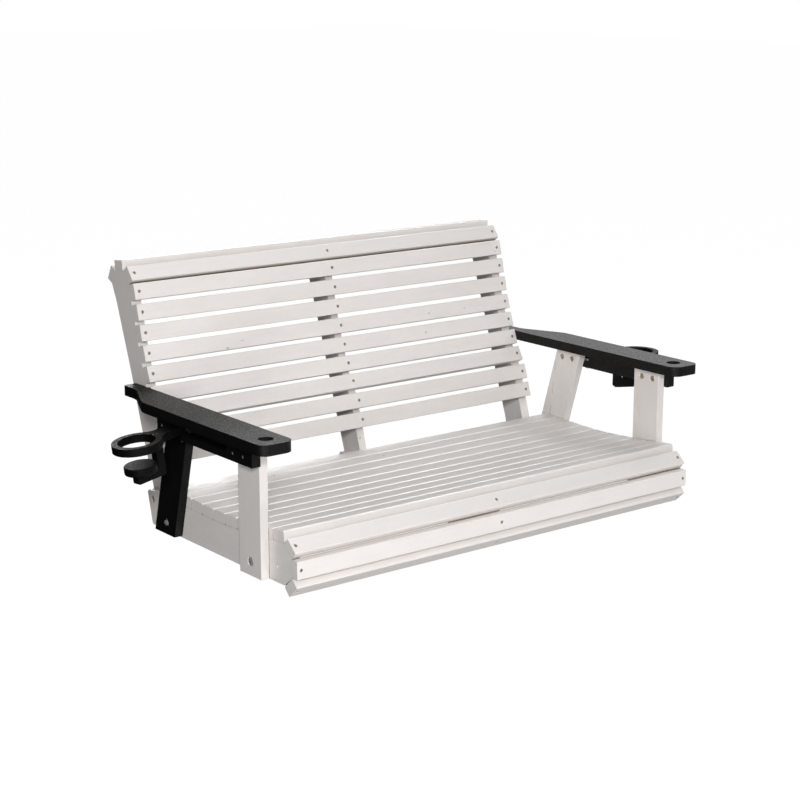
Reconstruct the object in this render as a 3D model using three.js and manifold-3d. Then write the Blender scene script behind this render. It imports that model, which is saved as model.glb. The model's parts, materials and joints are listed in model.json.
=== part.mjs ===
// A slatted porch swing seat in plastic lumber, with two swing-out cup holders.
// Millimetres, +Z up, the front of the seat faces -Y, x = 0 is the middle of its width,
// y = 0 is the middle of its depth, and z = 0 is its lowest edge.
// The pieces are drawn with y measured back from the round holes near the front of the arms,
// and add() then moves them forward by middleOfDepth.
import * as THREE from "three";
import Module from "manifold-3d";

const wasm = await Module();
wasm.setup();

// ---------------------------------------------------------------- driving dimensions
const inch = 25.4;
const degree = Math.PI / 180;
const fitGap = 0.3;                       // play where a piece rests on a turned neighbour

const seatWidth = 48 * inch;              // over the outer faces of the side seat rails
const boardThick = 7 / 8 * inch;          // slats, rails and posts
const postWidth = 3.5 * inch;
const armThick = 1 * inch;
const armTop = 14 * inch;                 // height of the arms' top face
const middleOfDepth = 343.7;

const seatEdge = seatWidth / 2;
const backEdge = seatEdge - boardThick;   // ends of the back slats, outer faces of the end supports
const postFace = seatEdge + boardThick;   // outer faces of the arm posts
const holderRailFace = postFace + boardThick;

const railBottom = armTop - 334;
const railRearTop = armTop - 248.5;
const railFoot = [railBottom, 546];       // [height, y] of the bottom rear corner
const railShoulder = [railRearTop, 568];  // [height, y] of the top rear corner

const endSupportThick = 27;
const middleSupportCentre = 4;
const middleRailCentre = middleSupportCentre - boardThick;

const screwHole = { radius: 4.2, depth: 2.6 };
const seatScrewHole = { radius: 2.6, depth: 1.5 };
const postScrewHole = { radius: 7.8, depth: 4 };
const railScrewHole = { radius: 5.2, depth: 3 };
const neckScrewHole = { radius: 3.2, depth: 2 };
const endScrewX = backEdge - endSupportThick / 2;
const frontScrewX = seatEdge - boardThick / 2;

const white = new THREE.MeshStandardMaterial({ color: "#dcd7d2", roughness: 0.55, metalness: 0 });
const black = new THREE.MeshStandardMaterial({ color: "#201f1e", roughness: 0.6, metalness: 0 });
const steel = new THREE.MeshStandardMaterial({ color: "#a39d95", roughness: 0.35, metalness: 1 });

const swing = new THREE.Group();
swing.name = "porch_swing_seat";

// ---------------------------------------------------------------- general helpers
function add(name, geometry, material) {
  const mesh = new THREE.Mesh(geometry.translate(0, -middleOfDepth, 0), material);
  mesh.name = name;
  swing.add(mesh);
}

function weld(geometry) {
  const points = geometry.index ? geometry.toNonIndexed() : geometry;
  const seen = new Map();
  const vertProperties = [];
  const triVerts = [];
  const position = points.getAttribute("position");
  for (let i = 0; i < position.count; i += 1) {
    const corner = [position.getX(i), position.getY(i), position.getZ(i)];
    const key = corner.map((value) => Math.round(value * 1e4)).join();
    if (!seen.has(key)) {
      seen.set(key, seen.size);
      vertProperties.push(...corner);
    }
    triVerts.push(seen.get(key));
  }
  const whole = [];
  for (let i = 0; i < triVerts.length; i += 3) {
    const [a, b, c] = triVerts.slice(i, i + 3);
    if (a !== b && b !== c && c !== a) whole.push(a, b, c);
  }
  return { vertProperties: new Float32Array(vertProperties), triVerts: new Uint32Array(whole) };
}

function solid(geometry) {
  return new wasm.Manifold(new wasm.Mesh({ numProp: 3, ...weld(geometry) }));
}

function geometryOf(manifold) {
  const mesh = manifold.getMesh();
  const geometry = new THREE.BufferGeometry();
  geometry.setAttribute("position", new THREE.BufferAttribute(new Float32Array(mesh.vertProperties), 3));
  geometry.setIndex(new THREE.BufferAttribute(new Uint32Array(mesh.triVerts), 1));
  const flat = geometry.toNonIndexed();
  flat.computeVertexNormals();
  return flat;
}

function cut(geometry, cutters) {
  return geometryOf(cutters.reduce((body, cutter) => body.subtract(solid(cutter)), solid(geometry)));
}

function join(geometries) {
  return geometryOf(geometries.map(solid).reduce((body, piece) => body.add(piece)));
}

function sorted(a, b) {
  return [Math.min(a, b), Math.max(a, b)];
}

function outline(points) {
  return new THREE.Shape(points.map(([a, b]) => new THREE.Vector2(a, b)));
}

// A polygon whose corners are rounded: each corner is [a, b, radius].
function roundedOutline(corners, steps = 4) {
  const points = [];
  corners.forEach(([a, b, radius = 0], i) => {
    const corner = new THREE.Vector2(a, b);
    if (!radius) {
      points.push(corner);
      return;
    }
    const before = new THREE.Vector2(...corners.at(i - 1)).sub(corner).normalize();
    const after = new THREE.Vector2(...corners[(i + 1) % corners.length]).sub(corner).normalize();
    const half = Math.acos(THREE.MathUtils.clamp(before.dot(after), -1, 1)) / 2;
    const reach = radius / Math.tan(half);
    const centre = before.clone().add(after).normalize().multiplyScalar(radius / Math.sin(half)).add(corner);
    const start = before.multiplyScalar(reach).add(corner).sub(centre);
    const end = after.multiplyScalar(reach).add(corner).sub(centre);
    const turn = Math.atan2(start.cross(end), start.dot(end));
    for (let step = 0; step <= steps; step += 1) {
      const spin = turn * step / steps;
      points.push(start.clone().rotateAround(new THREE.Vector2(), spin).add(centre));
    }
  });
  return new THREE.Shape(points);
}

function arcPoints([a, b], radius, from, to, steps) {
  return Array.from({ length: steps + 1 }, (_, i) => {
    const angle = from + (to - from) * i / steps;
    return [a + radius * Math.cos(angle), b + radius * Math.sin(angle)];
  });
}

function circle(shapeOrPath, a, b, radius) {
  return shapeOrPath.absarc(a, b, radius, 0, 2 * Math.PI, false);
}

function extrude(shape, from, to, curveSegments = 6) {
  const geometry = new THREE.ExtrudeGeometry(shape, { depth: to - from, bevelEnabled: false, curveSegments });
  return geometry.translate(0, 0, from);
}

// A side profile drawn as (y, z), run from one x to another.
function alongX(shape, from, to, curveSegments = 6) {
  const turn = new THREE.Matrix4().makeBasis(
    new THREE.Vector3(0, 1, 0), new THREE.Vector3(0, 0, 1), new THREE.Vector3(1, 0, 0));
  return extrude(shape, from, to, curveSegments).applyMatrix4(turn);
}

function rod(axis, radius, from, to, [x, y, z], sides = 24) {
  const geometry = new THREE.CylinderGeometry(radius, radius, to - from, sides);
  geometry.translate(0, (from + to) / 2, 0);
  if (axis === "x") geometry.rotateZ(-Math.PI / 2);
  if (axis === "z") geometry.rotateX(Math.PI / 2);
  return geometry.translate(x, y, z);
}

// Rods that cut blind holes into a face at right angles to an axis; inward is +1 or -1 along it.
function screwHoles(axis, face, inward, { radius, depth }, centres) {
  const reach = sorted(face - inward, face + inward * depth);
  return centres.map((centre) => rod(axis, radius, ...reach, centre, 16));
}

// A smooth curve through [height, y] or [y, height] knots, read at any first value.
function through(knots) {
  const spline = new THREE.SplineCurve(knots.map(([a, b]) => new THREE.Vector2(a, b)));
  const fine = spline.getPoints(40 * knots.length);
  return (value) => {
    const i = Math.max(1, Math.min(fine.length - 1, fine.findIndex((point) => point.x >= value)));
    const [low, high] = [fine[i - 1], fine[i]];
    return low.y + (high.y - low.y) * (value - low.x) / (high.x - low.x);
  };
}

// ---------------------------------------------------------------- cross boards
// A cross board runs along x. (y, z) is the middle of its outer face and lean is the angle of
// that face's outward direction above the front (0 faces the front, 90 faces up, 180 the rear).
function boardAxes({ lean }) {
  const angle = lean * degree;
  return { along: [Math.sin(angle), Math.cos(angle)], out: [-Math.cos(angle), Math.sin(angle)] };
}

function boardPoint(board, a, b) {
  const { along, out } = boardAxes(board);
  return [board.y + a * along[0] + b * out[0], board.z + a * along[1] + b * out[1]];
}

// The two corners of a board's inner face, lowered by the fitting gap: [first, last] along the face.
function innerFace(board) {
  const depth = -board.thick - fitGap;
  return [boardPoint(board, -board.width / 2, depth), boardPoint(board, board.width / 2, depth)];
}

function crossBoard(board) {
  const { width, thick, reach, outerRound = 2, innerRound = 1.5, screws = [], hole = screwHole } = board;
  const profile = roundedOutline([
    [-width / 2, -thick, innerRound],
    [width / 2, -thick, innerRound],
    [width / 2, 0, outerRound],
    [-width / 2, 0, outerRound],
  ]);
  let geometry = extrude(profile, -reach, reach);
  if (screws.length) {
    const { radius, depth } = hole;
    geometry = cut(geometry, screws.map((x) => (
      new THREE.CylinderGeometry(radius, radius, 2 * depth, 16).translate(0, 0, x))));
  }
  const { along, out } = boardAxes(board);
  const turn = new THREE.Matrix4().makeBasis(
    new THREE.Vector3(0, ...along), new THREE.Vector3(0, ...out), new THREE.Vector3(1, 0, 0));
  turn.setPosition(0, board.y, board.z);
  return geometry.applyMatrix4(turn);
}

// ---------------------------------------------------------------- seat slats
const seatSlatThick = 27;
const seatPitch = 49.4;
const seatGap = 1.4;
const seatSlatCount = 10;
const firstSeam = 14.2;                   // y of the seam behind the narrow front slat
const frontSlatWidth = 43;
const seatTop = through([[-120, -203], [-30, -208], [110, -220.5], [262, -227.3], [458, -220.5], [560, -213]]
  .map(([y, below]) => [y, armTop + below]));

function seatSlats() {
  return Array.from({ length: seatSlatCount }, (_, i) => {
    const rear = firstSeam + seatPitch * i - seatGap / 2;
    const width = i === 0 ? frontSlatWidth : seatPitch - seatGap;
    const y = rear - width / 2;
    const slope = (seatTop(y + 10) - seatTop(y - 10)) / 20;
    return {
      y, z: seatTop(y), lean: 90 - Math.atan(slope) / degree, width, thick: seatSlatThick, reach: seatEdge,
      outerRound: 4.5, innerRound: 2.5, screws: [middleRailCentre], hole: seatScrewHole,
    };
  });
}

// ---------------------------------------------------------------- front roll of the seat
function frontSlats() {
  const shared = { reach: seatEdge, screws: [-frontScrewX, middleRailCentre, frontScrewX] };
  return {
    front_slat_upper: { y: -59.5, z: armTop - 235.6, lean: 47, width: 40, thick: boardThick, ...shared },
    front_slat_face: { y: -80.5, z: armTop - 287.6, lean: 0, width: 42.6, thick: boardThick, ...shared },
    front_slat_lower: { y: -63, z: armTop - 342.4, lean: -47, width: 41, thick: 26, ...shared },
  };
}

// ---------------------------------------------------------------- back slats
const backSlatWidth = 40.6;
const backPitch = 51.1;
const backSlatCount = 9;
const lowestBackSlat = armTop - 155.5;    // height of the middle of the lowest slat's front face
const backFront = through([[-334, 452], [-230, 483], [-150, 507], [-90, 528], [-35, 558],
  [20, 578.5], [100, 605], [165, 621.5], [252, 644], [300, 660]]
  .map(([above, y]) => [armTop + above, y]));

function backSlats() {
  const slats = [];
  let z = lowestBackSlat;
  for (let i = 0; i < backSlatCount; i += 1) {
    const slope = (backFront(z + 12) - backFront(z - 12)) / 24;
    slats.push({
      y: backFront(z), z, lean: Math.atan(slope) / degree, width: backSlatWidth, thick: boardThick,
      reach: backEdge, screws: [-endScrewX, middleSupportCentre, endScrewX],
    });
    z += backPitch / Math.hypot(1, slope);
  }
  return slats;
}

// The top of the back is rolled over: a leaned-back slat, a flat cap and a slat facing the rear.
function topSlats() {
  const shared = { thick: boardThick, reach: backEdge, screws: [-endScrewX, middleSupportCentre, endScrewX] };
  return {
    back_slat_top_front: { y: 658.9, z: armTop + 272.2, lean: 37, width: 40, ...shared },
    back_slat_cap: { y: 714.3, z: armTop + 297.6, lean: 97, width: 37.5, ...shared },
    back_slat_top_rear: { y: 759.6, z: armTop + 262.6, lean: 152.5, width: 39, ...shared },
  };
}

// ---------------------------------------------------------------- seat rails
function railProfile() {
  const slats = seatSlats();
  const front = frontSlats();
  const points = [];
  slats.forEach((slat) => points.push(...innerFace(slat)));
  const rearSlat = points.at(-1);
  return roundedOutline([
    ...innerFace(front.front_slat_lower).map(([y, z]) => [y, Math.max(z, railBottom)]),
    ...innerFace(front.front_slat_face),
    ...innerFace(front.front_slat_upper),
    ...points,
    [rearSlat[0] + 14, railRearTop],
    [railShoulder[1], railShoulder[0], 9],
    [railFoot[1], railFoot[0], 7],
  ]);
}

// The chains fasten to the side rails here: the rear bolt also ties the rail to the back support.
const rearHanger = { y: 541, z: armTop - 269 };
const rearBoltHole = { ...rearHanger, radius: 4.3 };
const hangerRecess = { radius: 8.2, depth: 6.5 };
const frontHanger = { y: -4.8, z: armTop - 296, radius: 5.2 };

function seatRail(from, to, holes) {
  const shape = railProfile();
  holes.forEach(({ y, z, radius }) => shape.holes.push(circle(new THREE.Path(), y, z, radius)));
  return alongX(shape, from, to, 10);
}

// ---------------------------------------------------------------- back supports
const backRear = through([[-334, 551], [-250, 575], [-115, 622.6], [5, 661],
  [105, 697], [234, 743.5], [280, 760]]
  .map(([above, y]) => [armTop + above, y]));

function supportProfile() {
  const { back_slat_top_front: lead, back_slat_cap: cap, back_slat_top_rear: tail } = topSlats();
  const front = [];
  backSlats().forEach((slat) => front.push(...innerFace(slat)));
  const [leadLow, leadHigh] = innerFace(lead);
  const [capFront, capRear] = innerFace(cap);
  const [tailHigh, tailLow] = innerFace(tail);
  const rear = [];
  for (let z = tailLow[1]; z > railBottom + 12; z -= 40) rear.push([backRear(z), z]);
  return roundedOutline([
    [backFront(railBottom) + boardThick + fitGap, railBottom],
    ...front,
    [leadLow[0] + 0.4, leadLow[1]],
    leadHigh,
    [capFront[0] + 1, capFront[1]],
    [Math.min(capRear[0], tailHigh[0]), capRear[1]],
    [tailHigh[0], Math.min(tailHigh[1], capRear[1] - 0.5)],
    tailLow,
    ...rear.slice(1),
    [backRear(railBottom), railBottom],
  ]);
}

function backSupport(from, to, holes) {
  const shape = supportProfile();
  holes.forEach(({ y, z, radius }) => shape.holes.push(circle(new THREE.Path(), y, z, radius)));
  return alongX(shape, from, to, 10);
}

// ---------------------------------------------------------------- arms
const armInner = backEdge;
const armOuter = armInner + 3.5 * inch;
const armFront = -50;
const armRear = 645;
const armTailWidth = 35;
const armHole = { x: 633, radius: 18 };

// The outer edge swings in towards the back through two arcs joined by a straight run.
function armSweep() {
  const radius = 80;
  const angle = 24 * degree;
  const startY = 446;
  const step = armOuter - (armInner + armTailWidth);
  const rise = radius * (1 - Math.cos(angle));
  const run = radius * Math.sin(angle);
  const straight = (step - 2 * rise) / Math.tan(angle);
  const points = [];
  for (let i = 0; i <= 5; i += 1) {
    const turn = angle * i / 5;
    points.push([armOuter - radius * (1 - Math.cos(turn)), startY + radius * Math.sin(turn)]);
  }
  const endY = startY + 2 * run + straight;
  for (let i = 5; i >= 0; i -= 1) {
    const turn = angle * i / 5;
    points.push([armInner + armTailWidth + radius * (1 - Math.cos(turn)), endY - radius * Math.sin(turn)]);
  }
  return points;
}

function arm(side) {
  const corners = [
    [armInner, armFront, 27],
    [armOuter, armFront, 22],
    ...armSweep(),
    [armInner + armTailWidth, armRear, 5],
    [armInner, armRear, 5],
  ].map(([x, y, radius]) => [side * x, y, radius]);
  const shape = roundedOutline(corners, 6);
  shape.holes.push(circle(new THREE.Path(), side * armHole.x, 0, armHole.radius));
  const board = extrude(shape, armTop - armThick, armTop, 14);
  return cut(board, [rod("z", pinHoleRadius, -1, pinDepth, [side * pivotX, pivotY, armTop - armThick])]);
}

// ---------------------------------------------------------------- arm posts
const frontPostCentre = 73.5;
const rearPostLean = { left: 14.8, right: 16.6 };   // degrees back from upright, towards the foot
const rearPostTop = 324.6;                // y of the front edge where it meets the arm
const rearPostBottom = railBottom + 4;
const postTop = armTop - armThick;
const boltHeight = 33;                    // bolt centre above the foot of each post
const boltRecess = { radius: 10.5, depth: 6 };
const boltRadius = 4;
const postScrewY = { front: [52.6, 91], rear: [360, 398.6] };   // screws from the post into the arm's rail

function frontPostOutline() {
  const [front, rear] = [frontPostCentre - postWidth / 2, frontPostCentre + postWidth / 2];
  return [[front, railBottom], [rear, railBottom], [rear, postTop], [front, postTop]];
}

function rearPostFront(label, z) {
  return rearPostTop + (postTop - z) * Math.tan(rearPostLean[label] * degree);
}

function rearPostOutline(label) {
  const across = postWidth / Math.cos(rearPostLean[label] * degree);
  const [low, high] = [rearPostFront(label, rearPostBottom), rearPostFront(label, postTop)];
  return [[low, rearPostBottom], [low + across, rearPostBottom], [high + across, postTop], [high, postTop]];
}

function postBoltCentre(label, which) {
  const z = railBottom + boltHeight;
  if (which === "front") return { y: frontPostCentre, z };
  return { y: rearPostFront(label, z) + postWidth / Math.cos(rearPostLean[label] * degree) / 2, z };
}

function post(side, label, which) {
  const corners = which === "front" ? frontPostOutline() : rearPostOutline(label);
  const board = alongX(outline(corners), ...sorted(side * seatEdge, side * postFace));
  const { y, z } = postBoltCentre(label, which);
  const bolt = [[0, y, z]];
  const screws = postScrewY[which].map((screwY) => [0, screwY, armTop - 48.7]);
  return cut(board, [
    rod("x", boltRadius + fitGap, ...sorted(side * (seatEdge - 1), side * (postFace + 1)), ...bolt),
    ...screwHoles("x", side * postFace, -side, boltRecess, bolt),
    ...screwHoles("x", side * seatEdge, side, postScrewHole, screws),
  ]);
}

// A hex bolt with its washer, to a washer and nut on the inner side. seat is the depth of the
// recess's floor and nutFace that of the face the nut draws up to, both as distances from x = 0.
function throughBolt(side, { y, z }, seat, nutFace, size = 1) {
  const piece = (radius, near, far, sides) => (
    rod("x", radius, ...sorted(side * near, side * far), [0, y, z], sides));
  return join([
    piece(boltRadius, nutFace - 9, seat + 1, 16),
    piece(9 * size, seat, seat + 1.6, 24),
    piece(7 * size, seat + 1.5, seat + 1.5 + 5 * size, 6),
    piece(9, nutFace - 1.6, nutFace, 24),
    piece(7, nutFace - 7.5, nutFace - 1.5, 6),
  ]);
}

// ---------------------------------------------------------------- cup holders
const pivotX = postFace + boardThick / 2;
const pivotY = 330.5;
const pinRadius = 3.2;
const pinHoleRadius = 3.4;
const pinDepth = 14;                      // how far the pin reaches up into the arm

const holderRailFront = { left: 24, right: 16 };
const railScrews = [[63, 52], [105, 52], [385, 50], [412, 50]];   // [y, depth below the arm's top]
const holderRail = { rear: 432, height: 44.4, slotFront: 128, slotRear: 366, slotDepth: 27.6, corner: 6 };
const slotWall = { thick: 2, rear: 315, below: 7 };   // the pocket's back wall, below the rail's top
const plate = {
  thick: 19, ring: 58, bore: 44, neck: 21, nose: 9.2, pinBore: 4.7, toRing: 139.4, sweep: 42,
  screws: [49, 60],
};
const bracket = { thick: 19, legNear: 43.5, legFar: 64.5, footEnd: -19, footTop: 76.3, bottom: 100.5 };
const disc = { radius: 38.3, top: 57, thick: 19 };
const plateTop = armTop - 27.6;           // height of the plate's top face over the pin

// The rail under the arm. A pocket in its outer side lets the cup holder's plate swing between it
// and the arm; a thin wall closes the pocket's back, apart from the stretch beside the pin.
function armRail(side, label) {
  const { rear, height, slotFront, slotRear, slotDepth, corner } = holderRail;
  const front = holderRailFront[label];
  const top = armTop - armThick;
  const shape = roundedOutline([
    [front, top - height, 3],
    [rear, top - height, 3],
    [rear, top],
    [slotRear, top],
    [slotRear, top - slotDepth, corner],
    [slotFront, top - slotDepth, corner],
    [slotFront, top],
    [front, top],
  ]);
  const wall = outline([
    [slotFront - 5, top - slotDepth - 5],
    [slotWall.rear, top - slotDepth - 5],
    [slotWall.rear, top - slotWall.below],
    [slotFront - 5, top - slotWall.below],
  ]);
  const board = join([
    alongX(shape, ...sorted(side * postFace, side * holderRailFace)),
    alongX(wall, ...sorted(side * postFace, side * (postFace + slotWall.thick))),
  ]);
  const pinHole = rod("z", pinHoleRadius, -1, height + 1, [side * pivotX, pivotY, top - height]);
  const screws = railScrews.map(([y, below]) => [0, y, armTop - below]);
  return cut(board, [
    pinHole,
    ...screwHoles("x", side * holderRailFace, -side, railScrewHole, screws),
  ]);
}

// Holder parts are drawn with the origin on the ring's centre line at the plate's top face:
// x runs along the neck towards the pin and z is up.
function platePoints() {
  const { ring, neck, nose, toRing, sweep } = plate;
  const sweepCentre = [Math.sqrt((ring + sweep) ** 2 - (neck + sweep) ** 2), neck + sweep];
  const ringEnd = Math.atan2(sweepCentre[1], sweepCentre[0]);
  const chamfer = 14;
  const noseStart = Math.PI / 2 - Math.acos(nose / Math.hypot(chamfer, neck)) + Math.atan2(chamfer, neck);
  const upper = [
    ...arcPoints([0, 0], ring, Math.PI, ringEnd, 26),
    ...arcPoints(sweepCentre, sweep, Math.PI + ringEnd, 1.5 * Math.PI, 8).slice(1),
    [toRing - chamfer, neck],
    ...arcPoints([toRing, 0], nose, noseStart, 0, 6),
  ];
  const lower = upper.slice(1, -1).reverse().map(([x, y]) => [x, -y]);
  return [...upper, ...lower];
}

function holderPlate() {
  const shape = outline(platePoints());
  shape.holes.push(circle(new THREE.Path(), 0, 0, plate.bore));
  shape.holes.push(circle(new THREE.Path(), plate.toRing, 0, plate.pinBore));
  const screws = plate.screws.map((fromRing) => [fromRing, 0, 0]);
  return cut(extrude(shape, -plate.thick, 0, 24), screwHoles("z", 0, -1, neckScrewHole, screws));
}

function holderBracket() {
  const { thick, legNear, legFar, footEnd, footTop, bottom } = bracket;
  const side = roundedOutline([
    [footEnd, -bottom, 5],
    [legFar, -bottom, 5],
    [legFar, -plate.thick - 0.2],
    [legNear, -plate.thick - 0.2],
    [legNear, -footTop, 2],
    [footEnd, -footTop, 2],
  ]);
  return extrude(side, -thick / 2, thick / 2).rotateX(Math.PI / 2);
}

function holderDisc() {
  return rod("z", disc.radius, -disc.top - disc.thick, -disc.top, [0, 0, 0], 48);
}

// Each holder hangs a little low on its pin: swing is how far it is turned towards the front
// from straight out, droop how far its outer end hangs below level.
function holderPlacement(side, swingAngle, droop) {
  const [swingTurn, droopTurn] = [swingAngle * degree, droop * degree];
  const level = new THREE.Vector3(-side * Math.cos(droopTurn), 0, Math.sin(droopTurn));
  const up = new THREE.Vector3(side * Math.sin(droopTurn), 0, Math.cos(droopTurn));
  const inward = level.multiplyScalar(Math.cos(swingTurn)).add(new THREE.Vector3(0, Math.sin(swingTurn), 0));
  const across = new THREE.Vector3().crossVectors(up, inward);
  const pin = new THREE.Vector3(side * pivotX, pivotY, plateTop);
  pin.add(new THREE.Vector3(side * Math.sin(droopTurn) * plate.thick / 2, 0, 0));
  const centre = pin.addScaledVector(inward, -plate.toRing);
  return new THREE.Matrix4().makeBasis(inward, across, up).setPosition(centre);
}

function pivotPin(side) {
  const low = armTop - armThick - holderRail.height;
  const at = [side * pivotX, pivotY, low];
  return join([
    rod("z", pinRadius, -1, holderRail.height + pinDepth - 0.5, at, 16),
    rod("z", 6.2, -4.2, 0, at, 6),
  ]);
}

// ---------------------------------------------------------------- the assembly
const holderPose = { left: { swing: 9.5, droop: 7.4 }, right: { swing: 28.7, droop: 0.6 } };
const middleSupport = [middleSupportCentre - boardThick / 2, middleSupportCentre + boardThick / 2];
const middleRail = [middleRailCentre - boardThick / 2, middleRailCentre + boardThick / 2];

for (const [label, side] of [["left", -1], ["right", 1]]) {
  const boltHoles = ["front", "rear"].map((which) => (
    { ...postBoltCentre(label, which), radius: boltRadius + fitGap }));
  const railHoles = [rearBoltHole, frontHanger, ...boltHoles];
  const rail = seatRail(...sorted(side * backEdge, side * seatEdge), railHoles);
  const recess = screwHoles("x", side * seatEdge, -side, hangerRecess, [[0, rearHanger.y, rearHanger.z]]);
  add(`seat_rail_${label}`, cut(rail, recess), white);
  add(`back_support_${label}`,
    backSupport(...sorted(side * (backEdge - endSupportThick), side * backEdge), [rearBoltHole]), white);
  add(`arm_${label}`, arm(side), black);
  add(`arm_post_front_${label}`, post(side, label, "front"), white);
  add(`arm_post_rear_${label}`, post(side, label, "rear"), label === "left" ? black : white);
  add(`arm_rail_${label}`, armRail(side, label), black);
  ["front", "rear"].forEach((which) => add(`post_bolt_${which}_${label}`,
    throughBolt(side, postBoltCentre(label, which), postFace - boltRecess.depth, backEdge), steel));
  add(`hanger_bolt_rear_${label}`,
    throughBolt(side, rearHanger, seatEdge - hangerRecess.depth, backEdge - endSupportThick, 0.82), steel);
  const { swing: swingAngle, droop } = holderPose[label];
  const place = holderPlacement(side, swingAngle, droop);
  add(`cup_holder_ring_${label}`, holderPlate().applyMatrix4(place), black);
  add(`cup_holder_bracket_${label}`, holderBracket().applyMatrix4(place), black);
  add(`cup_holder_disc_${label}`, holderDisc().applyMatrix4(place), black);
  add(`cup_holder_pin_${label}`, pivotPin(side), steel);
}
add("seat_rail_middle", seatRail(...middleRail, []), white);
add("back_support_middle", backSupport(...middleSupport, []), white);

seatSlats().forEach((slat, i) => add(`seat_slat_${String(i + 1).padStart(2, "0")}`, crossBoard(slat), white));
backSlats().forEach((slat, i) => add(`back_slat_${String(i + 1).padStart(2, "0")}`, crossBoard(slat), white));
Object.entries(frontSlats()).forEach(([name, slat]) => add(name, crossBoard(slat), white));
Object.entries(topSlats()).forEach(([name, slat]) => add(name, crossBoard(slat), white));

export default swing;
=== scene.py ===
"""Looks for the porch swing seat: plastic lumber boards with rounded edges, screws in their
sunk holes, steel bolts, a pale floor, soft studio light and the camera."""

import json
import math
import random

import bmesh
import bpy
from mathutils import Matrix, Vector


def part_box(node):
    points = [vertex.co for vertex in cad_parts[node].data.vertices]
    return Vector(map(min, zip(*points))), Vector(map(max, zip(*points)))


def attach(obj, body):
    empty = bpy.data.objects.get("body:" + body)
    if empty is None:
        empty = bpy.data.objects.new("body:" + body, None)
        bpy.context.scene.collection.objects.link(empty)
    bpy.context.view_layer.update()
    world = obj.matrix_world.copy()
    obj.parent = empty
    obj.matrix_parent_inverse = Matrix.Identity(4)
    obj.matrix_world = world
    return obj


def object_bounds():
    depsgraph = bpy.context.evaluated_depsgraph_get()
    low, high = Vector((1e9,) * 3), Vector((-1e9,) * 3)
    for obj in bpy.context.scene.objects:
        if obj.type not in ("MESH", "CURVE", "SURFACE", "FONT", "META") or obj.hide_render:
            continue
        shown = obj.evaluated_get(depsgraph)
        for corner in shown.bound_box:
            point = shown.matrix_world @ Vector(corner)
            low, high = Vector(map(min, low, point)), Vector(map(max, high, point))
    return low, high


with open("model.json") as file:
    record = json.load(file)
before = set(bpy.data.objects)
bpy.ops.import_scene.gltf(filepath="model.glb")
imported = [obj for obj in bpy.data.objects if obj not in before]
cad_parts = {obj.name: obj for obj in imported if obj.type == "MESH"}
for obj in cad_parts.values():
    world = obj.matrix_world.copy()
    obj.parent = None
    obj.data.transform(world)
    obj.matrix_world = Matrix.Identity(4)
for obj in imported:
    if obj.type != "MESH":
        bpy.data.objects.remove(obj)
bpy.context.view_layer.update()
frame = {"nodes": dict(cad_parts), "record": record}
NODES = frame["nodes"]
BODIES = frame["record"]["behaviour"]["bodies"]
BODY_OF = {node: body for body, members in BODIES.items() for node in members}

# Sizes in metres
MM = 0.001
WHITE_EDGE = 1.8 * MM            # rounding of the boards' edges
BLACK_EDGE = 2.6 * MM
SLAT_EDGE = 0.35 * MM            # the slats are rounded already, so this only softens their ends
STEEL_EDGE = 0.35 * MM
SCREW_EDGE = 0.25 * MM
SCREW_IN_HOLE = 0.8              # radius of a screw's head over that of its hole
HOLE_SIDES = 16                  # sides of the holes cut for the screws
FLOOR_BELOW = 0.42               # the seat hangs this far above the floor

BLACK_NODES = ("arm_left", "arm_right", "arm_post_rear_left", "arm_rail_left", "arm_rail_right")


# ---------------------------------------------------------------- node helpers
class Graph:
    """A material's or world's node tree, with short calls to add and join nodes."""

    def __init__(self, tree):
        self.tree = tree
        tree.nodes.clear()

    def add(self, kind, inputs=None, **settings):
        node = self.tree.nodes.new(kind)
        for name, value in settings.items():
            setattr(node, name, value)
        for name, value in (inputs or {}).items():
            if isinstance(value, bpy.types.NodeSocket):
                self.tree.links.new(value, node.inputs[name])
            else:
                node.inputs[name].default_value = value
        return node

    def noise(self, vector, scale, detail=2.0, roughness=0.5):
        values = {"Vector": vector, "Scale": scale, "Detail": detail, "Roughness": roughness}
        return self.add("ShaderNodeTexNoise", values).outputs["Fac"]

    def spread(self, value, low, high, to_low=0.0, to_high=1.0):
        """value from low to high, spread over to_low to to_high and held there outside."""
        values = {"Value": value, "From Min": low, "From Max": high, "To Min": to_low, "To Max": to_high}
        return self.add("ShaderNodeMapRange", values, interpolation_type="SMOOTHSTEP").outputs["Result"]

    def mix(self, factor, a, b, blend="MIX"):
        node = self.add("ShaderNodeMix", data_type="RGBA", blend_type=blend)
        for index, value in ((0, factor), (6, a), (7, b)):
            if isinstance(value, bpy.types.NodeSocket):
                self.tree.links.new(value, node.inputs[index])
            else:
                node.inputs[index].default_value = value
        return node.outputs[2]

    def calculate(self, operation, a, b=0.0):
        node = self.add("ShaderNodeMath", operation=operation)
        for index, value in enumerate((a, b)):
            if isinstance(value, bpy.types.NodeSocket):
                self.tree.links.new(value, node.inputs[index])
            else:
                node.inputs[index].default_value = value
        return node.outputs[0]

    def bump(self, height, distance, strength=1.0, normal=None):
        values = {"Height": height, "Distance": distance, "Strength": strength}
        if normal is not None:
            values["Normal"] = normal
        return self.add("ShaderNodeBump", values).outputs["Normal"]


def rgb(red, green, blue):
    """A colour given as 0 to 255 screen values, turned into the linear values Blender uses."""

    def linear(value):
        value /= 255
        return value / 12.92 if value <= 0.04045 else ((value + 0.055) / 1.055) ** 2.4

    return (linear(red), linear(green), linear(blue), 1.0)


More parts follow.
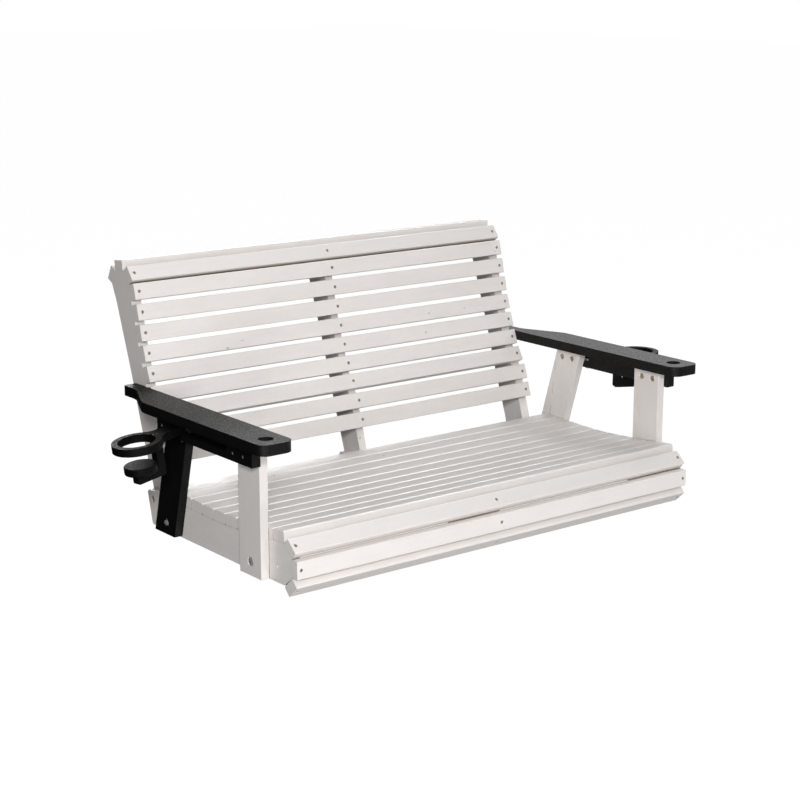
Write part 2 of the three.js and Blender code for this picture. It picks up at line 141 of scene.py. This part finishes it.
def board_space(graph, along, lean=0.0):
    """Object coordinates turned so that the board's length is along x, moved by a different
    amount for each board so that no two share their grain."""
    place = graph.add("ShaderNodeTexCoord").outputs["Object"]
    turn = {"x": (0, 0, 0), "y": (0, 0, math.pi / 2), "z": (lean, math.pi / 2, 0)}[along]
    turned = graph.add("ShaderNodeMapping", {"Vector": place, "Rotation": turn}).outputs["Vector"]
    seed = graph.add("ShaderNodeObjectInfo").outputs["Random"]
    shift = graph.calculate("MULTIPLY", seed, 37.0)
    offset = graph.add("ShaderNodeCombineXYZ", {"X": shift, "Y": shift, "Z": shift}).outputs[0]
    return graph.add("ShaderNodeVectorMath", {0: turned, 1: offset}, operation="ADD").outputs[0]


def stretched(graph, vector, along, across):
    """vector scaled by along on the board's length and by across on its other two axes."""
    values = {"Vector": vector, "Scale": (along, across, across)}
    return graph.add("ShaderNodeMapping", values).outputs["Vector"]


def crevice_shade(graph, reach):
    """1 on open faces, falling towards 0 in joints, holes and other narrow places: the mask for painted
    shade.
    """
    seen = graph.add("ShaderNodeAmbientOcclusion", {"Distance": reach}, samples=6).outputs["AO"]
    return graph.spread(seen, 0.1, 0.62)


def new_material(name):
    material = bpy.data.materials.new(name)
    material.use_nodes = True
    return material, Graph(material.node_tree)


# ---------------------------------------------------------------- materials
def white_lumber(along):
    """Off-white plastic lumber: faint mottling, fine drawn streaks along the board, brown shade painted
    into the corners and a low sheen."""
    material, graph = new_material(f"white_lumber_{along}")
    place = board_space(graph, along)
    mottle = graph.noise(stretched(graph, place, 9, 26), 1.0, 4.0, 0.6)
    streak = graph.noise(stretched(graph, place, 5, 330), 1.0, 3.0, 0.6)
    grain = graph.noise(stretched(graph, place, 500, 900), 1.0, 3.0, 0.6)
    speck = graph.noise(place, 60.0, 1.0, 0.4)
    base = graph.mix(graph.spread(mottle, 0.3, 0.7), rgb(232, 227, 224), rgb(227, 222, 219))
    base = graph.mix(graph.spread(streak, 0.4, 0.8, 0.0, 0.3), base, rgb(219, 213, 208))
    base = graph.mix(graph.spread(grain, 0.35, 0.75, 0.0, 0.35), base, rgb(216, 211, 207))
    base = graph.mix(graph.spread(speck, 0.79, 0.84, 0.0, 0.5), base, rgb(160, 132, 102))
    # painted shade: brown is multiplied into the colour in joints, holes and corners, where ambient
    # occlusion finds them
    open_face = crevice_shade(graph, 7 * MM)
    base = graph.mix(open_face, graph.mix(1.0, base, rgb(150, 122, 94), "MULTIPLY"), base)
    roughness = graph.spread(mottle, 0.2, 0.8, 0.3, 0.44)
    shader = graph.add("ShaderNodeBsdfPrincipled", {
        "Base Color": base,
        "Roughness": roughness,
        "Specular IOR Level": 0.45,
        "Normal": graph.bump(graph.calculate("ADD", streak, grain), 0.1 * MM),
    })
    graph.add("ShaderNodeOutputMaterial", {"Surface": shader.outputs[0]})
    return material


def black_lumber(name, along, shine, relief):
    """Black plastic lumber with a fine pebbled skin that shows as pale flecks where light rakes it,
    and with its reflections darkened in corners as painted shade. shine is its specular level on open
    faces and relief the height of the pebbles."""
    material, graph = new_material(name)
    place = board_space(graph, along)
    mottle = graph.noise(stretched(graph, place, 10, 22), 1.0, 4.0, 0.6)
    pebble = graph.noise(stretched(graph, place, 260, 340), 1.0, 3.0, 0.65)
    base = graph.mix(graph.spread(mottle, 0.3, 0.7), rgb(5, 5, 6), rgb(9, 9, 9))
    base = graph.mix(graph.spread(pebble, 0.55, 0.7, 0.0, 0.7), base, rgb(27, 26, 26))
    shader = graph.add("ShaderNodeBsdfPrincipled", {
        "Base Color": base,
        "Roughness": graph.spread(pebble, 0.42, 0.68, 0.62, 0.36),
        # painted shade: the specular level falls towards 0 in joints, holes and corners
        "Specular IOR Level": graph.calculate("MULTIPLY", crevice_shade(graph, 12 * MM), shine),
        "Normal": graph.bump(pebble, relief),
    })
    graph.add("ShaderNodeOutputMaterial", {"Surface": shader.outputs[0]})
    return material


def steel(name, tint, roughness, metallic=1.0):
    """Dull hardware steel with a fine brushed unevenness."""
    material, graph = new_material(name)
    place = graph.add("ShaderNodeTexCoord").outputs["Object"]
    wear = graph.noise(place, 420.0, 3.0, 0.6)
    worn = (*(0.55 * value for value in tint[:3]), 1.0)
    shader = graph.add("ShaderNodeBsdfPrincipled", {
        "Base Color": graph.mix(graph.spread(wear, 0.3, 0.7), tint, worn),
        "Metallic": metallic,
        "Roughness": graph.spread(wear, 0.3, 0.7, roughness, roughness + 0.2),
        "Normal": graph.bump(wear, 0.08 * MM),
    })
    graph.add("ShaderNodeOutputMaterial", {"Surface": shader.outputs[0]})
    return material


WHITE = {along: white_lumber(along) for along in "xyz"}
BLACK = {along: black_lumber(f"black_lumber_{along}", along, 0.25, 0.5 * MM) for along in "yz"}
HOLDER = black_lumber("black_holder", "y", 0.1, 0.2 * MM)
STEEL = steel("bolt_steel", rgb(232, 226, 218), 0.3, 0.6)
SCREW = steel("screw_steel", rgb(188, 170, 148), 0.32, 0.7)


# ---------------------------------------------------------------- rounded, smooth boards
def smooth_by_angle(limit):
    """A modifier tree that shades faces smooth and keeps edges sharper than limit."""
    tree = bpy.data.node_groups.new("smooth_by_angle", "GeometryNodeTree")
    tree.interface.new_socket("Geometry", in_out="INPUT", socket_type="NodeSocketGeometry")
    tree.interface.new_socket("Geometry", in_out="OUTPUT", socket_type="NodeSocketGeometry")
    graph = Graph(tree)
    entry = graph.add("NodeGroupInput")
    angle = graph.add("GeometryNodeInputMeshEdgeAngle").outputs["Unsigned Angle"]
    sharp = graph.add("FunctionNodeCompare", {"A": angle, "B": limit}, operation="GREATER_THAN").outputs[0]
    faces = graph.add("GeometryNodeSetShadeSmooth", {"Geometry": entry.outputs[0], "Shade Smooth": True})
    kept_sharp = {"Geometry": faces.outputs[0], "Selection": sharp, "Shade Smooth": False}
    edges = graph.add("GeometryNodeSetShadeSmooth", kept_sharp, domain="EDGE")
    graph.add("NodeGroupOutput", {"Geometry": edges.outputs[0]})
    return tree


SMOOTH = smooth_by_angle(math.radians(34))


def round_edges(piece, width, segments=3):
    """Joins the piece's facets, rounds its edges and shades it smooth, without touching its mesh."""
    weld = piece.modifiers.new("weld", "WELD")
    weld.merge_threshold = 0.02 * MM
    bevel = piece.modifiers.new("rounded_edges", "BEVEL")
    bevel.width = width
    bevel.segments = segments
    bevel.limit_method = "ANGLE"
    bevel.angle_limit = math.radians(38)
    bevel.use_clamp_overlap = True
    piece.modifiers.new("smooth", "NODES").node_group = SMOOTH
    weighted = piece.modifiers.new("flat_faces", "WEIGHTED_NORMAL")
    weighted.keep_sharp = True


def paint(piece, material):
    piece.data.materials.clear()
    piece.data.materials.append(material)


def length_axis(name):
    """The axis that the board's grain runs along: the longest side of its box."""
    low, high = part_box(name)
    size = high - low
    if name.startswith(("arm_post", "back_support")):
        return "z"
    return "xyz"[max(range(3), key=lambda axis: size[axis])]


def finish_boards():
    """Gives every CAD piece its material and its rounded edges."""
    for name, node in NODES.items():
        if "bolt" in name or "pin" in name:
            paint(node, STEEL)
            round_edges(node, STEEL_EDGE, 2)
        elif name.startswith("cup_holder"):
            paint(node, HOLDER)
            round_edges(node, BLACK_EDGE)
        elif name in BLACK_NODES:
            paint(node, BLACK[length_axis(name)])
            round_edges(node, BLACK_EDGE)
        elif "slat" in name:
            paint(node, WHITE["x"])
            round_edges(node, SLAT_EDGE, 2)
        else:
            paint(node, WHITE[length_axis(name)])
            round_edges(node, WHITE_EDGE)


# ---------------------------------------------------------------- screws in the blind holes
def flat_patches(mesh):
    """The mesh's flat patches: lists of faces that touch and face the same way."""
    corner_of = {}
    faces_at = {}
    for face in mesh.polygons:
        for index in face.vertices:
            key = tuple(round(value, 5) for value in mesh.vertices[index].co)
            corner_of[index] = key
            faces_at.setdefault(key, []).append(face.index)
    unseen = set(range(len(mesh.polygons)))
    while unseen:
        first = unseen.pop()
        normal = mesh.polygons[first].normal
        patch = [first]
        for index in patch:
            for vertex in mesh.polygons[index].vertices:
                for other in faces_at[corner_of[vertex]]:
                    if other in unseen and mesh.polygons[other].normal.dot(normal) > 0.9999:
                        unseen.remove(other)
                        patch.append(other)
        yield [mesh.polygons[index] for index in patch]


def hole_floors(mesh, narrowest=2 * MM, widest=8 * MM):
    """Centre, radius and outward direction of each round floor at the bottom of a blind hole: a flat
    patch with one triangle from its centre to each of the hole's sides."""
    for patch in flat_patches(mesh):
        if len(patch) != HOLE_SIDES:
            continue
        points = {tuple(round(value, 6) for value in mesh.vertices[index].co)
                  for face in patch for index in face.vertices}
        centre = sum((Vector(point) for point in points), Vector()) / len(points)
        reach = [(Vector(point) - centre).length for point in points]
        rim = [value for value in reach if value > 0.9 * max(reach)]
        is_round = len(rim) == HOLE_SIDES and max(rim) - min(rim) < 0.05 * MM
        if is_round and narrowest < max(rim) < widest:
            yield centre, max(rim), patch[0].normal.copy()


def screw_head(radius):
    """A domed screw head with a square socket, standing on z = 0, built ring by ring."""
    sides = 24
    socket_width = 0.92
    dome = [(1.0, 0.0), (1.0, 0.16), (0.94, 0.30), (0.72, 0.46), (0.5, 0.52)]   # (reach, height) in radii
    socket = [(0.40, 0.53), (0.36, 0.46), (0.34, 0.12)]
    mesh = bmesh.new()
    loops = []
    for reach, height in dome + socket:
        loop = []
        for side in range(sides):
            angle = 2 * math.pi * side / sides
            spread = 1.0
            if (reach, height) in socket:
                spread = socket_width / max(abs(math.cos(angle)), abs(math.sin(angle)))
            away = radius * reach * spread
            loop.append(mesh.verts.new((away * math.cos(angle), away * math.sin(angle), radius * height)))
        loops.append(loop)
    for low, high in zip(loops, loops[1:]):
        for side in range(sides):
            after = (side + 1) % sides
            mesh.faces.new((low[side], low[after], high[after], high[side]))
    mesh.faces.new(loops[-1])
    mesh.faces.new(list(reversed(loops[0])))
    data = bpy.data.meshes.new("screw_head")
    mesh.to_mesh(data)
    mesh.free()
    return data


def add_screws():
    """A screw in every blind hole, its head a little smaller than the hole and turned at random."""
    for name, node in NODES.items():
        if "bolt" in name or "pin" in name:
            continue
        turn = random.Random(name)
        for number, (centre, radius, outward) in enumerate(list(hole_floors(node.data)), 1):
            head = bpy.data.objects.new(f"screw_{name}_{number}", screw_head(SCREW_IN_HOLE * radius))
            bpy.context.scene.collection.objects.link(head)
            facing = outward.to_track_quat("Z", "Y").to_matrix().to_4x4()
            turned = Matrix.Rotation(turn.uniform(0, 3.1), 4, "Z")
            head.matrix_world = Matrix.Translation(centre) @ facing @ turned
            paint(head, SCREW)
            for face in head.data.polygons:
                face.use_smooth = True
            round_edges(head, SCREW_EDGE, 2)
            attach(head, BODY_OF[name])


# ---------------------------------------------------------------- floor, light and camera
def make_floor():
    """A plain pale floor, well below the hanging seat."""
    low, _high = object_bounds()
    bpy.ops.mesh.primitive_plane_add(size=60, location=(0, 10, low.z - FLOOR_BELOW))
    floor = bpy.context.object
    floor.name = "floor"
    material, graph = new_material("floor")
    shader = graph.add("ShaderNodeBsdfPrincipled", {
        "Base Color": rgb(90, 90, 90),
        "Roughness": 0.9,
        "Specular IOR Level": 0.0,
        "Emission Color": (1, 1, 1, 1),
        "Emission Strength": 0.97,
    })
    graph.add("ShaderNodeOutputMaterial", {"Surface": shader.outputs[0]})
    paint(floor, material)
    floor.visible_diffuse = False
    floor.visible_shadow = False
    floor.visible_glossy = False


def area_light(name, place, target, size, power, diffuse=True):
    """A round lamp, hidden from the camera. Without diffuse it only shows in glossy reflections."""
    light = bpy.data.lights.new(name, "AREA")
    light.shape = "DISK"
    light.size = size
    light.energy = power
    lamp = bpy.data.objects.new(name, light)
    bpy.context.scene.collection.objects.link(lamp)
    lamp.visible_camera = False
    lamp.visible_diffuse = diffuse
    lamp.location = place
    lamp.rotation_euler = (Vector(target) - Vector(place)).to_track_quat("-Z", "Y").to_euler()


def make_light():
    """Lamps around the seat and a world that is white to the camera and lights from the right, with
    its lower half dimmed in reflections."""
    white = (1.0, 1.0, 1.0, 1)
    world = bpy.data.worlds.new("studio")
    world.use_nodes = True
    bpy.context.scene.world = world
    graph = Graph(world.node_tree)
    direction = graph.add("ShaderNodeTexCoord").outputs["Generated"]
    axes = graph.add("ShaderNodeSeparateXYZ", {0: direction})
    rays = graph.add("ShaderNodeLightPath")
    fill = graph.spread(axes.outputs[0], 0.0, 1.0, 0.02, 0.95)
    mirrored = graph.spread(axes.outputs[2], -0.3, 0.1, 0.2, 1.0)
    dimming = graph.mix(rays.outputs["Is Glossy Ray"], white, mirrored)
    lighting = graph.mix(1.0, fill, dimming, "MULTIPLY")
    colour = graph.mix(rays.outputs["Is Camera Ray"], lighting, white)
    background = graph.add("ShaderNodeBackground", {"Color": colour, "Strength": 1.0})
    graph.add("ShaderNodeOutputWorld", {"Surface": background.outputs[0]})
    middle = (0, 0, 0.35)
    area_light("key", (-3.4, -4.4, 2.6), middle, 1.0, 168)
    area_light("overhead", (0.3, -3.0, 4.8), middle, 1.6, 62)
    area_light("left", (-4.6, -3.0, 1.2), middle, 1.6, 52)
    area_light("low_left", (-3.4, -4.4, -0.3), middle, 1.6, 60)
    area_light("low_front", (0.3, -3.6, -2.8), middle, 1.6, 62)
    area_light("rear_right", (2.4, 4.6, 2.3), middle, 2.4, 46)
    area_light("sheen_low", (2.0, 5.0, 2.0), middle, 2.2, 56, diffuse=False)
    area_light("sheen_high", (3.3, 1.8, 4.4), middle, 1.2, 300, diffuse=False)


def make_camera():
    """A long lens from the front left, looking slightly down on the seat."""
    camera = bpy.data.objects.new("camera", bpy.data.cameras.new("camera"))
    bpy.context.scene.collection.objects.link(camera)
    yaw = math.radians(37.69)
    pitch = math.radians(13.56)
    ahead = Vector((math.sin(yaw) * math.cos(pitch), math.cos(yaw) * math.cos(pitch), -math.sin(pitch)))
    camera.location = Vector((-2.7402, -3.5498, 1.3652))
    camera.rotation_euler = ahead.to_track_quat("-Z", "Y").to_euler()
    camera.data.sensor_width = 36
    camera.data.lens = 81.70
    bpy.context.scene.camera = camera


finish_boards()
add_screws()
make_floor()
make_light()
make_camera()
bpy.context.scene.view_settings.view_transform = "Standard"
